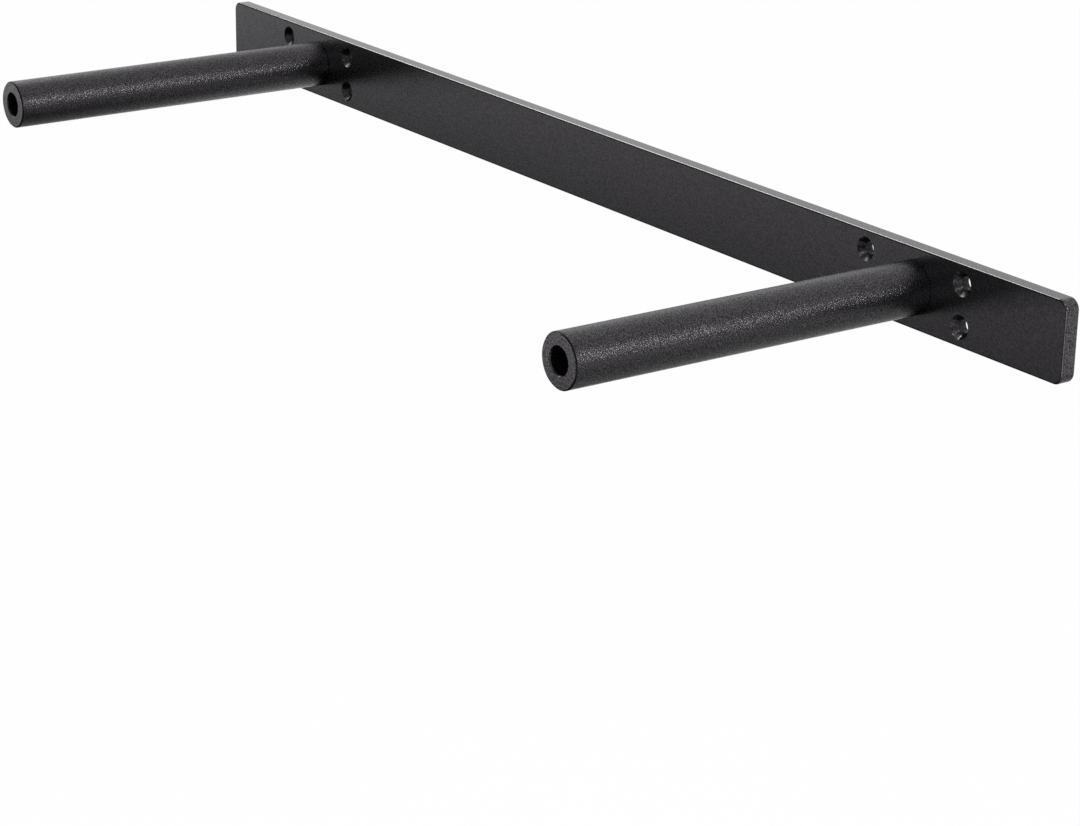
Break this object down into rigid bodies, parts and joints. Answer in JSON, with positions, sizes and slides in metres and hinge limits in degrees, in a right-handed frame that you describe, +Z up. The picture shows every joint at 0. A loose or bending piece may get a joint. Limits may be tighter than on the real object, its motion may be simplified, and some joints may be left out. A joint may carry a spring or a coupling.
{
  "type": "floating shelf bracket",
  "caption": "Floating shelf bracket: a flat bar that screws to the wall, with hollow rods standing out of it that slide into bores in the back of a shelf.",
  "frame": {"origin": "middle of the plate's wall face, the face that lies on the wall", "axes": "+X along the plate, +Y into the wall, square to the wall face, and +Z up; the tubes point along -Y"},
  "size_m": [0.5588, 0.1584, 0.03],
  "materials": {
    "powder_coat_plate": "satin black powder coat, finely textured",
    "powder_coat_tube": "satin black powder coat with a fine orange-peel grain",
    "powder_coat_weld": "satin black powder coat over weld ripples"
  },
  "bodies": {
    "root": {"back_plate": "powder_coat_plate", "left_tube": "powder_coat_tube", "left_weld": "powder_coat_weld", "right_tube": "powder_coat_tube", "right_weld": "powder_coat_weld"}
  },
  "joints": []
}
